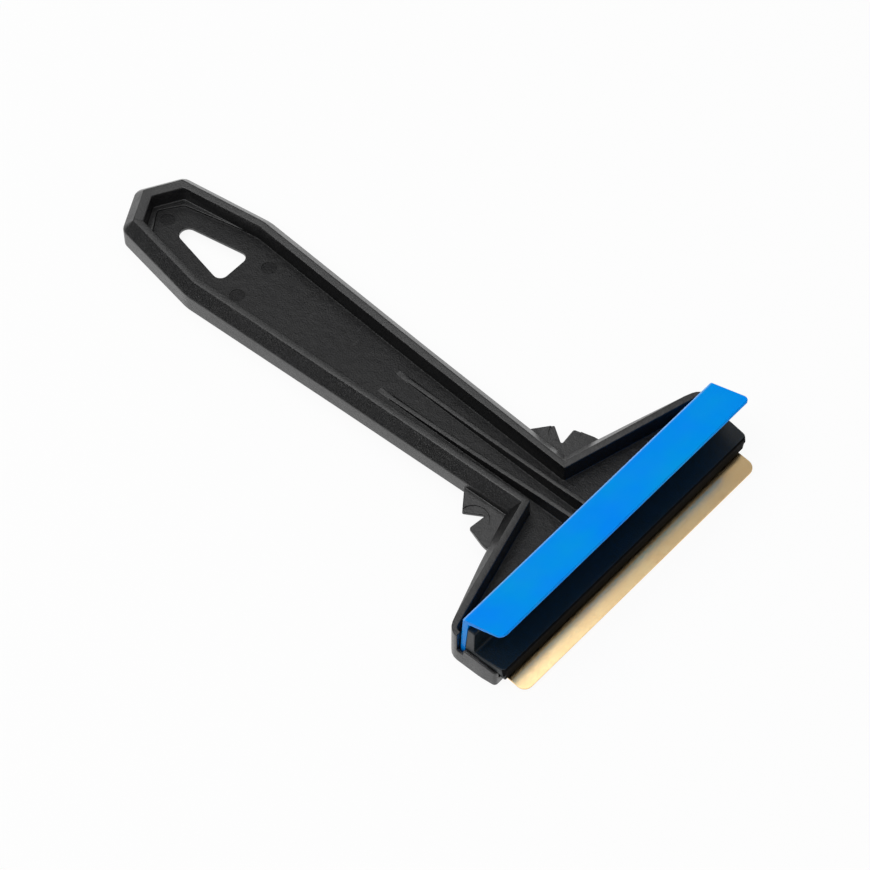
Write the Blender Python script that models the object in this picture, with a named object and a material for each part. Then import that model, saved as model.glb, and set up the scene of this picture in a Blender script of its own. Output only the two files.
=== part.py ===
"""Ice scraper: a moulded handle and head, a clamped brass blade and a rubber squeegee strip.

Everything is modelled in the frame of the handle's rim: X runs along the blade, +Y runs from the
clamp bar's back face to the end of the handle, and Z is 0 on the rim. An empty then tips the model
by a degree or so, so that it lies flat on the head's underside and the end of the handle.
"""

import math

import bmesh
import bpy
from mathutils import Matrix, Vector

MM = 0.001

# The gap that seated pieces keep to each other.
FIT = 0.3 * MM

# Handle: an open channel. Its half widths are measured to the inner edge of the rim.
HANDLE_LENGTH = 155.0 * MM
NECK_HALF_WIDTH = 7.3 * MM
GRIP_HALF_WIDTH = 9.6 * MM
GRIP_FROM_NECK = 62.0 * MM
GRIP_SWELL_RADIUS = 900.0 * MM
END_HALF_WIDTH = 12.8 * MM
END_BEND_FROM_TIP = 31.5 * MM
END_BEND_RADIUS = 5.0 * MM
GABLE_HALF_WIDTH = 8.4 * MM
GABLE_RISE = 4.7 * MM
GABLE_CORNER_RADIUS = 1.2 * MM
GABLE_RIM_RADIUS = 0.4 * MM
GABLE_RIM_EXTRA = 0.95 * MM
NECK_RIM_LESS = 0.4 * MM
CHANNEL_DEPTH = 6.3 * MM
HANDLE_DEPTH = 10.2 * MM
WEB_THICKNESS = 1.5 * MM
BACK_WALL = 2.6 * MM
BACK_RECESS_FROM_NECK = 30.0 * MM

# Outer section of every wall: a flat rim, then a broad chamfer down to the side.
RIM_WIDTH = 2.15 * MM
CHAMFER_OUT = 3.27 * MM
CHAMFER_DOWN = 3.66 * MM

# Step that runs round the foot of the gable, inside the channel.
GABLE_STEP_WIDTH = 1.6 * MM
GABLE_STEP_HEIGHT = 0.7 * MM
GABLE_STEP_BURIED = 0.4 * MM

# Hang hole: a rounded triangle through the web.
HOLE_BASE_FROM_TIP = 33.6 * MM
HOLE_LENGTH = 21.8 * MM
HOLE_HALF_WIDTH = 6.5 * MM
HOLE_BASE_RADIUS = 2.4 * MM
HOLE_APEX_HALF_WIDTH = 2.2 * MM
HOLE_APEX_RADIUS = 2.5 * MM

# Round marks that the mould's ejector pins leave on the channel's floor.
EJECTOR_RADIUS = 2.3 * MM
EJECTOR_DEPTH = 0.2 * MM
EJECTOR_FROM_TIP = 6.0 * MM
EJECTOR_PAIR_FROM_TIP = 41.0 * MM
EJECTOR_PAIR_HALF_SPACING = 6.8 * MM

# Head: a swept back wall round a shallow recess, over a shelf that carries the blade and its clamp.
NECK_FROM_SLOT = 16.3 * MM
HEAD_SWEEP = 0.275
HEAD_DEPTH = 12.3 * MM
HEAD_FRONT_FROM_SLOT = 11.2 * MM
HEAD_PAST_BLADE = 4.2 * MM
HEAD_END_WALL = 1.9 * MM
HEAD_END_RADIUS = 1.5 * MM
SHELF_DEPTH = 9.8 * MM

# Outline of the head's upright sides, which draw in to the rim toward the ends.
SIDE_NECK_HALF_WIDTH = 13.0 * MM
SIDE_NECK_FROM_SLOT = 20.4 * MM
SIDE_BEND_HALF_WIDTH = 31.5 * MM
SIDE_BEND_FROM_SLOT = 14.0 * MM
SIDE_BEND_RADIUS = 40.0 * MM
SIDE_SWEEP = 0.388
SIDE_CORNER_RADIUS = 4.5 * MM
SIDE_BOW_FROM_SLOT = 6.2 * MM
SIDE_BOW_IN = 0.25 * MM
SIDE_BOW_RADIUS = 12.0 * MM
SIDE_FRONT_IN = 0.9 * MM
SIDE_FRONT_RADIUS = 1.2 * MM

# Cheeks at the head's ends: low walls that the clamp's ends lie on.
CHEEK_PAST_BLADE = 1.8 * MM
CHEEK_DEPTH = 5.2 * MM
CHEEK_EDGE_FROM_SLOT = 6.0 * MM
CHEEK_EDGE_RADIUS = 12.0 * MM
CHEEK_FRONT_FROM_SLOT = 12.4 * MM
CHEEK_FRONT_DEPTH = 7.0 * MM
SLOT_END_DEPTH = 7.4 * MM

# Underside of the neck, where the handle thins before it meets the head's base.
NECK_DEPTH = 9.0 * MM
NECK_THIN_FROM_SLOT = 33.0 * MM
GRIP_DEPTH = 9.4 * MM
GRIP_THIN_TO_SLOT = 66.0 * MM
NECK_RAMP_FROM_SLOT = 18.0 * MM
NECK_RAMP_RUN = 7.0 * MM
REST_FLAT = 0.15 * MM

# Two ribs that rise from the channel's floor and run into the head's recess.
RIB_WIDTH = 1.6 * MM
RIB_START_FROM_SLOT = 76.5 * MM
RIB_HALF_SPACING_START = 3.95 * MM
RIB_HALF_SPACING_NECK = 2.95 * MM
RIB_RISE_MIDDLE = 1.8 * MM
RIB_MIDDLE_FROM_SLOT = 43.3 * MM
RIB_RISE_NECK = 4.1 * MM
RIB_TOP_BELOW_RIM = 0.7 * MM

# Fins in the corners of the neck: a thin plate with a notch in its free edge.
FIN_TOP_DEPTH = 5.7 * MM
FIN_THICKNESS = 1.7 * MM
FIN_ROOT_FROM_SLOT = 36.5 * MM
FIN_ROOT_HALF_WIDTH = 12.2 * MM
FIN_TIP_FROM_SLOT = 30.6 * MM
FIN_TIP_HALF_WIDTH = 19.9 * MM
FIN_NOTCH_FROM_SLOT = 25.0 * MM
FIN_NOTCH_HALF_WIDTH = 16.3 * MM
FIN_LOBE_FROM_SLOT = 25.7 * MM
FIN_LOBE_HALF_WIDTH = 22.5 * MM
FIN_FOOT_FROM_SLOT = 18.8 * MM
FIN_FOOT_HALF_WIDTH = 24.5 * MM
FIN_RELIEF_RADIUS = 4.6 * MM
FIN_RELIEF_HALF_WIDTH = 19.6 * MM
FIN_RELIEF_FROM_SLOT = 26.6 * MM
FIN_RELIEF_DEPTH = 0.35 * MM

# Brass blade.
BLADE_WIDTH = 100.0 * MM
BLADE_THICKNESS = 0.5 * MM
BLADE_OVERHANG = 5.8 * MM
BLADE_CORNER_RADIUS = 2.8 * MM
BLADE_BACK_RADIUS = 0.5 * MM
BLADE_BACK_MARGIN = 0.7 * MM

# Clamp: a flat-topped block whose front face leans back under its lip, small ribs below it that
# press on the blade, and a wall along its back that holds the strip upright.
BAR_WIDTH = 13.6 * MM
BAR_HEIGHT = 5.8 * MM
BAR_UNDERCUT = 1.5 * MM
BAR_LIP_RADIUS = 0.5 * MM
BAR_FOOT_RADIUS = 0.3 * MM
BAR_INSET = 0.8 * MM
BAR_FRONT_IN = 2.0 * MM
BAR_CORNER_RADIUS = 2.0 * MM
WALL_TOP = 5.5 * MM
WALL_THICKNESS = 2.4 * MM
WALL_TOP_RADIUS = 0.5 * MM
WALL_FOOT_RADIUS = 0.8 * MM
CRUSH_RIB_COUNT = 11
CRUSH_RIB_PITCH = 9.0 * MM
CRUSH_RIB_WIDTH = 1.3 * MM
CRUSH_RIB_HEIGHT = 0.5 * MM

# Rubber squeegee strip: a leaning leg whose foot sits in the slot, and a raised, tapering flange.
STRIP_PAST_BLADE = 2.75 * MM
STRIP_FOOT_THICKNESS = 1.7 * MM
STRIP_LEG_THICKNESS = 2.0 * MM
STRIP_LEAN_DEPTH = 5.4 * MM
STRIP_LEG_LEAN = 0.65 * MM
STRIP_LEG_TOP = 8.2 * MM
STRIP_FLANGE_WIDTH = 14.8 * MM
STRIP_FLANGE_TILT = math.radians(20.8)
STRIP_FLANGE_THICKNESS = 1.7 * MM
STRIP_EDGE_THICKNESS = 0.8 * MM
STRIP_BACK_RADIUS = 0.9 * MM
STRIP_INNER_RADIUS = 0.8 * MM
STRIP_EDGE_RADIUS = 0.25 * MM
STRIP_CORNER_RADIUS = 2.2 * MM

# How finely arcs are stepped, and how far cutters reach past what they cut.
ARC_STEP = math.radians(18.0)
CUT_MARGIN = 20.0 * MM

# Places worked out from the sizes above.
STRIP_LENGTH = BLADE_WIDTH + 2.0 * STRIP_PAST_BLADE
HEAD_END_X = BLADE_WIDTH / 2.0 + HEAD_PAST_BLADE
HEAD_HALF_WIDTH = HEAD_END_X - HEAD_END_WALL
HEAD_FRONT_Y = -HEAD_FRONT_FROM_SLOT
CHEEK_X = BLADE_WIDTH / 2.0 + CHEEK_PAST_BLADE
TIP_Y = NECK_FROM_SLOT + HANDLE_LENGTH
SLOT_WIDTH = STRIP_FOOT_THICKNESS + 2.0 * FIT
SHELF_Z = -SHELF_DEPTH
BAR_BOTTOM_Z = SHELF_Z + FIT
BAR_TOP_Z = BAR_BOTTOM_Z + BAR_HEIGHT
BLADE_TOP_Z = BAR_BOTTOM_Z - CRUSH_RIB_HEIGHT - FIT
BLADE_BOTTOM_Z = BLADE_TOP_Z - BLADE_THICKNESS
POCKET_Z = BLADE_BOTTOM_Z - FIT
WALL_OUT = RIM_WIDTH + CHAMFER_OUT
REST_HEAD_Y = NECK_RAMP_FROM_SLOT
REST_TIP_Y = TIP_Y + WALL_OUT + GABLE_RIM_EXTRA
REST_TIP_Z = -(HANDLE_DEPTH - REST_FLAT)
REST_PITCH = math.atan2(HEAD_DEPTH + REST_TIP_Z, REST_TIP_Y - REST_HEAD_Y)


def clear_scene():
    """Remove every object of the scene that the script starts in."""
    for item in list(bpy.data.objects):
        bpy.data.objects.remove(item, do_unlink=True)


def new_collection(name):
    """Make a collection in the scene."""
    collection = bpy.data.collections.new(name)
    bpy.context.scene.collection.children.link(collection)
    return collection


def plastic(name, colour, roughness, metallic=0.0):
    """Make a Principled BSDF material of one colour."""
    material = bpy.data.materials.new(name)
    material.use_nodes = True
    shader = material.node_tree.nodes["Principled BSDF"]
    shader.inputs["Base Color"].default_value = (*colour, 1.0)
    shader.inputs["Roughness"].default_value = roughness
    shader.inputs["Metallic"].default_value = metallic
    return material


def mirrored(half):
    """Complete a closed outline from its corners at +X, listed from the front to the handle's end."""
    other = [(-x, y, radius) for x, y, radius in reversed(half) if abs(x) > 0.0]
    return list(half) + other


def grow(corners, distance):
    """Move a counter-clockwise outline outward, with each corner's arc kept concentric."""
    grown = []
    for index, (x, y, radius) in enumerate(corners):
        here = Vector((x, y))
        arrive = (here - Vector(corners[index - 1][:2])).normalized()
        leave = (Vector(corners[(index + 1) % len(corners)][:2]) - here).normalized()
        normal_in = Vector((arrive.y, -arrive.x))
        normal_out = Vector((leave.y, -leave.x))
        shift = (normal_in + normal_out) / (1.0 + normal_in.dot(normal_out))
        place = here + shift * distance
        turn = 1.0 if arrive.cross(leave) > 0.0 else -1.0
        grown.append((place.x, place.y, max(radius + turn * distance, 0.0)))
    return grown


def fillet(corners):
    """Return the points of a closed outline, with an arc of each corner's own radius."""
    points = []
    for index, (x, y, radius) in enumerate(corners):
        here = Vector((x, y))
        back = (Vector(corners[index - 1][:2]) - here).normalized()
        ahead = (Vector(corners[(index + 1) % len(corners)][:2]) - here).normalized()
        turn = math.pi - back.angle(ahead)
        if radius <= 0.0 or turn < 1e-4:
            points.append(here)
            continue
        centre = here + (back + ahead).normalized() * radius / math.cos(turn / 2.0)
        start = here + back * radius * math.tan(turn / 2.0)
        side = -1.0 if back.cross(ahead) > 0.0 else 1.0
        steps = max(1, math.ceil(turn / ARC_STEP))
        for step in range(steps + 1):
            swing = Matrix.Rotation(side * turn * step / steps, 2)
            points.append(centre + swing @ (start - centre))
    return points


def outline_mesh(name, points, depth, bevel=0.0, steps=0):
    """Fill a closed outline and give it depth, centred on z = 0, as a closed mesh."""
    curve = bpy.data.curves.new(name, "CURVE")
    curve.dimensions = "2D"
    curve.fill_mode = "BOTH"
    curve.extrude = depth / 2.0 - bevel
    curve.bevel_depth = bevel
    curve.bevel_resolution = steps
    spline = curve.splines.new("POLY")
    spline.points.add(len(points) - 1)
    for target, point in zip(spline.points, points):
        target.co = (point[0], point[1], 0.0, 1.0)
    spline.use_cyclic_u = True
    holder = bpy.data.objects.new(name, curve)
    bpy.context.scene.collection.objects.link(holder)
    graph = bpy.context.evaluated_depsgraph_get()
    mesh = bpy.data.meshes.new_from_object(holder.evaluated_get(graph))
    bpy.data.objects.remove(holder, do_unlink=True)
    bpy.data.curves.remove(curve)
    shape = bmesh.new()
    shape.from_mesh(mesh)
    bmesh.ops.remove_doubles(shape, verts=shape.verts, dist=1e-6)
    bmesh.ops.recalc_face_normals(shape, faces=shape.faces)
    shape.to_mesh(mesh)
    shape.free()
    return mesh


def plan_prism(name, corners, bottom, top, collection, frame):
    """Extrude a plan outline from one height to another."""
    mesh = outline_mesh(name, fillet(corners), top - bottom)
    mesh.transform(Matrix.Translation((0.0, 0.0, (top + bottom) / 2.0)))
    return place(name, mesh, collection, frame)


def side_prism(name, corners, length, collection, frame, middle=0.0):
    """Extrude a side outline, given as (y, z) corners, along X."""
    mesh = outline_mesh(name, fillet(corners), length)
    stand = Matrix(((0, 0, 1, middle), (1, 0, 0, 0), (0, 1, 0, 0), (0, 0, 0, 1)))
    mesh.transform(stand)
    return place(name, mesh, collection, frame)


def front_prism(name, corners, length, collection, frame):
    """Extrude a front outline, given as (x, z) corners, along Y."""
    mesh = outline_mesh(name, fillet(corners), length)
    mesh.transform(Matrix(((1, 0, 0, 0), (0, 0, -1, 0), (0, 1, 0, 0), (0, 0, 0, 1))))
    return place(name, mesh, collection, frame)


def place(name, mesh, collection, frame):
    """Make the mesh's object, in the collection and under the frame's empty."""
    item = bpy.data.objects.new(name, mesh)
    collection.objects.link(item)
    item.parent = frame
    return item


def as_guide(item):
    """Show a cutter as wires only, and keep it out of renders."""
    item.display_type = "WIRE"
    item.hide_render = True
    return item


def combine(target, guide, operation):
    """Cut, join or intersect the target with a guide."""
    as_guide(guide)
    modifier = target.modifiers.new(f"{operation.lower()} {guide.name}", "BOOLEAN")
    modifier.operation = operation
    modifier.solver = "EXACT"
    modifier.object = guide


def finish(item, material, angle=32.0):
    """Give the object its material and smooth its round faces."""
    item.data.materials.clear()
    item.data.materials.append(material)
    item.data.shade_smooth()
    item.data.set_sharp_from_angle(angle=math.radians(angle))


def inner_corners():
    """Corners of the rim's inner edge: the channel and the head's recess in one outline."""
    neck_y = NECK_FROM_SLOT
    end_y = neck_y - HEAD_SWEEP * (HEAD_HALF_WIDTH - NECK_HALF_WIDTH)
    return mirrored([
        (HEAD_HALF_WIDTH, HEAD_FRONT_Y, 0.0),
        (HEAD_HALF_WIDTH, end_y, HEAD_END_RADIUS),
        (NECK_HALF_WIDTH, neck_y, 0.0),
        (GRIP_HALF_WIDTH, neck_y + GRIP_FROM_NECK, GRIP_SWELL_RADIUS),
        (END_HALF_WIDTH, TIP_Y - END_BEND_FROM_TIP, END_BEND_RADIUS),
        (GABLE_HALF_WIDTH, TIP_Y - GABLE_RISE, GABLE_CORNER_RADIUS),
        (0.0, TIP_Y, GABLE_CORNER_RADIUS),
    ])


def rim_corners():
    """Corners of the rim's outer edge: the rim is narrower at the neck, and wider at the gable."""
    gable_y = TIP_Y - 2.0 * GABLE_RISE
    neck_end_y = NECK_FROM_SLOT + GRIP_FROM_NECK / 2.0
    corners = []
    for x, y, radius in grow(inner_corners(), RIM_WIDTH):
        if y > gable_y:
            corners.append((x, y + GABLE_RIM_EXTRA, GABLE_RIM_RADIUS))
        elif NECK_FROM_SLOT < y < neck_end_y:
            corners.append((x - math.copysign(NECK_RIM_LESS, x), y, radius))
        else:
            corners.append((x, y, radius))
    return corners


def body_blank(collection, frame):
    """The body before it is hollowed: its outline with the chamfer round its top."""
    depth = 2.0 * (HEAD_DEPTH + CHAMFER_DOWN)
    stretch = CHAMFER_DOWN / CHAMFER_OUT
    mesh = outline_mesh("body", fillet(rim_corners()), depth / stretch, CHAMFER_OUT)
    mesh.transform(Matrix.Diagonal((1.0, 1.0, stretch, 1.0)))
    mesh.transform(Matrix.Translation((0.0, 0.0, -depth / 2.0)))
    return place("body", mesh, collection, frame)


def trim_head_sides(body, cutters, frame):
    """Trim the head to its upright sides, and leave the handle as it is."""
    reach = TIP_Y + CUT_MARGIN
    drop = SIDE_SWEEP * (HEAD_END_X - SIDE_BEND_HALF_WIDTH)
    corners = mirrored([
        (HEAD_END_X - SIDE_FRONT_IN, HEAD_FRONT_Y, SIDE_FRONT_RADIUS),
        (HEAD_END_X - SIDE_BOW_IN, -SIDE_BOW_FROM_SLOT, SIDE_BOW_RADIUS),
        (HEAD_END_X, SIDE_BEND_FROM_SLOT - drop, SIDE_CORNER_RADIUS),
        (SIDE_BEND_HALF_WIDTH, SIDE_BEND_FROM_SLOT, SIDE_BEND_RADIUS),
        (SIDE_NECK_HALF_WIDTH, SIDE_NECK_FROM_SLOT, 0.0),
        (reach, SIDE_NECK_FROM_SLOT, 0.0),
        (reach, reach, 0.0),
    ])
    sides = plan_prism("head_sides", corners, -reach, CUT_MARGIN, cutters, frame)
    combine(body, sides, "INTERSECT")


def fin_corners(side):
    """Plan of one neck fin, buried in the walls of the handle and the head."""
    buried = NECK_HALF_WIDTH + RIM_WIDTH
    corners = [
        (buried, NECK_FROM_SLOT - RIM_WIDTH, 0.0),
        (FIN_FOOT_HALF_WIDTH, NECK_FROM_SLOT - HEAD_SWEEP * FIN_FOOT_HALF_WIDTH, 0.0),
        (FIN_FOOT_HALF_WIDTH, FIN_FOOT_FROM_SLOT, 5.0 * MM),
        (FIN_LOBE_HALF_WIDTH, FIN_LOBE_FROM_SLOT, 0.8 * MM),
        (FIN_NOTCH_HALF_WIDTH, FIN_NOTCH_FROM_SLOT, 0.4 * MM),
        (FIN_TIP_HALF_WIDTH, FIN_TIP_FROM_SLOT, 0.4 * MM),
        (FIN_ROOT_HALF_WIDTH, FIN_ROOT_FROM_SLOT, 0.0),
        (buried, FIN_ROOT_FROM_SLOT, 0.0),
    ]
    if side > 0:
        return corners
    return [(-x, y, radius) for x, y, radius in reversed(corners)]


def add_fins(body, cutters, frame):
    """Join a notched fin to each corner of the neck."""
    for name, side in (("left_fin", -1), ("right_fin", 1)):
        bottom = -(FIN_TOP_DEPTH + FIN_THICKNESS)
        fin = plan_prism(name, fin_corners(side), bottom, -FIN_TOP_DEPTH, cutters, frame)
        combine(body, fin, "UNION")
        middle = (side * FIN_RELIEF_HALF_WIDTH, FIN_RELIEF_FROM_SLOT)
        bottom = -FIN_TOP_DEPTH - FIN_RELIEF_DEPTH
        relief = disc(f"{name}_relief", middle, FIN_RELIEF_RADIUS, bottom, 0.0, cutters, frame)
        combine(body, relief, "DIFFERENCE")


def rib_corners(side):
    """Plan of one rib: it draws in from the channel toward the neck, then runs on to the slot."""
    half = RIB_WIDTH / 2.0
    stations = [
        (RIB_HALF_SPACING_START, RIB_START_FROM_SLOT + RIB_WIDTH),
        (RIB_HALF_SPACING_START, RIB_START_FROM_SLOT - 3.0 * RIB_WIDTH),
        (RIB_HALF_SPACING_NECK, NECK_FROM_SLOT),
        (RIB_HALF_SPACING_NECK, 0.0),
    ]
    outer = [(side * x + half, y, 0.0) for x, y in reversed(stations)]
    inner = [(side * x - half, y, 0.0) for x, y in stations]
    return outer + inner


def add_ribs(body, cutters, frame):
    """Join the two ribs, whose tops climb from the channel's floor almost to the rim."""
    floor = -CHANNEL_DEPTH
    foot = floor - WEB_THICKNESS / 2.0
    profile = side_prism("rib_profile", [
        (-CUT_MARGIN, foot, 0.0),
        (RIB_START_FROM_SLOT + CUT_MARGIN, foot, 0.0),
        (RIB_START_FROM_SLOT, floor, 0.0),
        (RIB_MIDDLE_FROM_SLOT, floor + RIB_RISE_MIDDLE, 150.0 * MM),
        (NECK_FROM_SLOT, floor + RIB_RISE_NECK, 150.0 * MM),
        (0.0, -RIB_TOP_BELOW_RIM, 0.0),
        (-CUT_MARGIN, -RIB_TOP_BELOW_RIM, 0.0),
    ], 4.0 * RIB_HALF_SPACING_START, cutters, frame)
    as_guide(profile)
    for name, side in (("left_rib", -1), ("right_rib", 1)):
        rib = plan_prism(name, rib_corners(side), foot - RIB_WIDTH, CUT_MARGIN, cutters, frame)
        combine(rib, profile, "INTERSECT")
        combine(body, rib, "UNION")


def cut_channel(body, cutters, frame):
    """Open the channel and the head's recess, with a low step round the foot of the gable."""
    outline = inner_corners()
    channel = plan_prism("channel", outline, -CHANNEL_DEPTH, CUT_MARGIN, cutters, frame)
    combine(body, channel, "DIFFERENCE")
    bend_y = TIP_Y - END_BEND_FROM_TIP
    gable_y = TIP_Y - GABLE_RISE
    outer = mirrored([
        (END_HALF_WIDTH + RIM_WIDTH, bend_y, 0.0),
        (GABLE_HALF_WIDTH + RIM_WIDTH, gable_y, 0.0),
        (0.0, TIP_Y + RIM_WIDTH, 0.0),
    ])
    inner = mirrored([
        (END_HALF_WIDTH + GABLE_STEP_BURIED, bend_y, 0.0),
        (GABLE_HALF_WIDTH - GABLE_STEP_WIDTH, gable_y - GABLE_STEP_WIDTH, GABLE_CORNER_RADIUS),
        (0.0, TIP_Y - GABLE_STEP_WIDTH, GABLE_CORNER_RADIUS),
    ])
    bottom = -CHANNEL_DEPTH - WEB_THICKNESS / 2.0
    top = GABLE_STEP_HEIGHT - CHANNEL_DEPTH
    corners = outer + inner[::-1]
    step = plan_prism("gable_step", corners, bottom, top, cutters, frame)
    combine(body, step, "UNION")


def box_outline(half_x, front, back):
    """Corners of a plain rectangle about the middle plane."""
    return [(half_x, front, 0.0), (half_x, back, 0.0), (-half_x, back, 0.0), (-half_x, front, 0.0)]


def cut_shelf(body, cutters, frame):
    """Cut the shelf for the clamp between the cheeks, the strip's slot and the blade's pocket."""
    past = HEAD_END_X + CUT_MARGIN
    front = HEAD_FRONT_Y - CUT_MARGIN
    cheeks = side_prism("cheek_tops", [
        (front, -CHEEK_FRONT_DEPTH, 0.0),
        (-CHEEK_FRONT_FROM_SLOT, -CHEEK_FRONT_DEPTH, 0.0),
        (-CHEEK_EDGE_FROM_SLOT, -CHEEK_DEPTH, CHEEK_EDGE_RADIUS),
        (SLOT_WIDTH, -CHEEK_DEPTH, 0.0),
        (SLOT_WIDTH, CUT_MARGIN, 0.0),
        (front, CUT_MARGIN, 0.0),
    ], 2.0 * past, cutters, frame)
    combine(body, cheeks, "DIFFERENCE")
    cuts = [
        ("shelf", CHEEK_X, front, SLOT_WIDTH, SHELF_Z),
        ("slot", STRIP_LENGTH / 2.0 + FIT, 0.0, SLOT_WIDTH, SHELF_Z),
        ("slot_ends", past, 0.0, SLOT_WIDTH, -SLOT_END_DEPTH),
        ("blade_pocket", BLADE_WIDTH / 2.0 + FIT, front, FIT - BLADE_BACK_MARGIN, POCKET_Z),
    ]
    for name, half, near, far, bottom in cuts:
        cut = plan_prism(name, box_outline(half, near, far), bottom, CUT_MARGIN, cutters, frame)
        combine(body, cut, "DIFFERENCE")


def cut_hang_hole(body, cutters, frame):
    """Cut the rounded triangular hole near the end of the handle."""
    base_y = TIP_Y - HOLE_BASE_FROM_TIP
    apex_y = base_y + HOLE_LENGTH
    corners = mirrored([
        (HOLE_HALF_WIDTH, base_y, HOLE_BASE_RADIUS),
        (HOLE_APEX_HALF_WIDTH, apex_y, HOLE_APEX_RADIUS),
    ])
    hole = plan_prism("hang_hole", corners, -CUT_MARGIN, CUT_MARGIN, cutters, frame)
    combine(body, hole, "DIFFERENCE")


def cut_underside(body, cutters, frame):
    """Thin the handle's underside to its own depth, and recess its back down to the web."""
    far = TIP_Y + CUT_MARGIN
    deep = -2.0 * (HEAD_DEPTH + CUT_MARGIN)
    profile = side_prism("underside", [
        (NECK_RAMP_FROM_SLOT, deep, 0.0),
        (far, deep, 0.0),
        (far, -HANDLE_DEPTH, 0.0),
        (REST_TIP_Y, -HANDLE_DEPTH, 0.0),
        (GRIP_THIN_TO_SLOT, -GRIP_DEPTH, 60.0 * MM),
        (NECK_THIN_FROM_SLOT, -NECK_DEPTH, 30.0 * MM),
        (NECK_RAMP_FROM_SLOT + NECK_RAMP_RUN, -NECK_DEPTH, 4.0 * MM),
        (NECK_RAMP_FROM_SLOT, -HEAD_DEPTH, 0.0),
    ], 4.0 * (END_HALF_WIDTH + CUT_MARGIN), cutters, frame)
    combine(body, profile, "DIFFERENCE")
    inset = WALL_OUT - BACK_WALL
    start = NECK_FROM_SLOT + BACK_RECESS_FROM_NECK
    inside = grow(rim_corners(), CHAMFER_OUT - BACK_WALL)
    recess = [corner for corner in inside if corner[1] > start]
    start_half = NECK_HALF_WIDTH + inset
    recess = [(start_half, start, 1.0 * MM), *recess, (-start_half, start, 1.0 * MM)]
    web_z = -(CHANNEL_DEPTH + WEB_THICKNESS)
    combine(body, plan_prism("back_recess", recess, deep, web_z, cutters, frame), "DIFFERENCE")


def disc(name, middle, radius, bottom, top, collection, frame):
    """An upright cylinder."""
    x, y = middle
    corners = [
        (x + radius, y - radius, radius),
        (x + radius, y + radius, radius),
        (x - radius, y + radius, radius),
        (x - radius, y - radius, radius),
    ]
    return plan_prism(name, corners, bottom, top, collection, frame)


def mark_ejectors(body, cutters, frame):
    """Sink the ejector pins' round marks a little into the channel's floor."""
    pair_y = TIP_Y - EJECTOR_PAIR_FROM_TIP
    places = [
        (0.0, TIP_Y - EJECTOR_FROM_TIP),
        (-EJECTOR_PAIR_HALF_SPACING, pair_y),
        (EJECTOR_PAIR_HALF_SPACING, pair_y),
    ]
    bottom = -CHANNEL_DEPTH - EJECTOR_DEPTH
    for index, middle in enumerate(places):
        name = f"ejector_mark_{index}"
        mark = disc(name, middle, EJECTOR_RADIUS, bottom, 0.0, cutters, frame)
        combine(body, mark, "DIFFERENCE")


def cut_rest_face(body, cutters):
    """Cut the underside flat at z = 0, where the scraper lies on a table."""
    reach = TIP_Y + CUT_MARGIN
    corners = box_outline(reach, -reach, reach)
    bed = plan_prism("rest_bed", corners, -2.0 * CUT_MARGIN, 0.0, cutters, None)
    combine(body, bed, "DIFFERENCE")


def make_body(parts, cutters, frame):
    """The moulded handle and head."""
    body = body_blank(parts, frame)
    trim_head_sides(body, cutters, frame)
    add_fins(body, cutters, frame)
    cut_channel(body, cutters, frame)
    add_ribs(body, cutters, frame)
    cut_shelf(body, cutters, frame)
    cut_hang_hole(body, cutters, frame)
    mark_ejectors(body, cutters, frame)
    cut_underside(body, cutters, frame)
    cut_rest_face(body, cutters)
    finish(body, plastic("black_plastic", (0.022, 0.023, 0.025), 0.42))


def leg_slope():
    """How far the strip's leg leans forward for each unit that it rises."""
    front, top = strip_corners()[-2][:2]
    return (FIT - front) / (top + STRIP_LEAN_DEPTH)


def bar_corners():
    """Section of the clamp as (y, z) corners: front face, flat top and the wall at its back."""
    wall_back = -leg_slope() * (WALL_TOP + STRIP_LEAN_DEPTH)
    wall_front = wall_back - WALL_THICKNESS
    return [
        (BAR_UNDERCUT - BAR_WIDTH, BAR_BOTTOM_Z, BAR_FOOT_RADIUS),
        (0.0, BAR_BOTTOM_Z, BAR_FOOT_RADIUS),
        (0.0, -STRIP_LEAN_DEPTH - FIT, 0.0),
        (wall_back, WALL_TOP, WALL_TOP_RADIUS),
        (wall_front, WALL_TOP, WALL_TOP_RADIUS),
        (wall_front, BAR_TOP_Z, WALL_FOOT_RADIUS),
        (-BAR_WIDTH, BAR_TOP_Z, BAR_LIP_RADIUS),
    ]


def free_bar_ends(bar, cutters, frame):
    """Cut the clamp's ends free of the cheeks that they lie on."""
    past = HEAD_END_X + CUT_MARGIN
    cheek = grow([
        (-past, -past, 0.0),
        (past, -past, 0.0),
        (past, -CHEEK_DEPTH, 0.0),
        (-CHEEK_EDGE_FROM_SLOT, -CHEEK_DEPTH, CHEEK_EDGE_RADIUS),
        (-CHEEK_FRONT_FROM_SLOT, -CHEEK_FRONT_DEPTH, 0.0),
        (-past, -CHEEK_FRONT_DEPTH, 0.0),
    ], FIT)
    for name, side in (("left", -1.0), ("right", 1.0)):
        middle = side * (CHEEK_X - FIT + past) / 2.0
        width = past - CHEEK_X + FIT
        room = side_prism(f"{name}_cheek_room", cheek, width, cutters, frame, middle)
        combine(bar, room, "DIFFERENCE")


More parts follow.
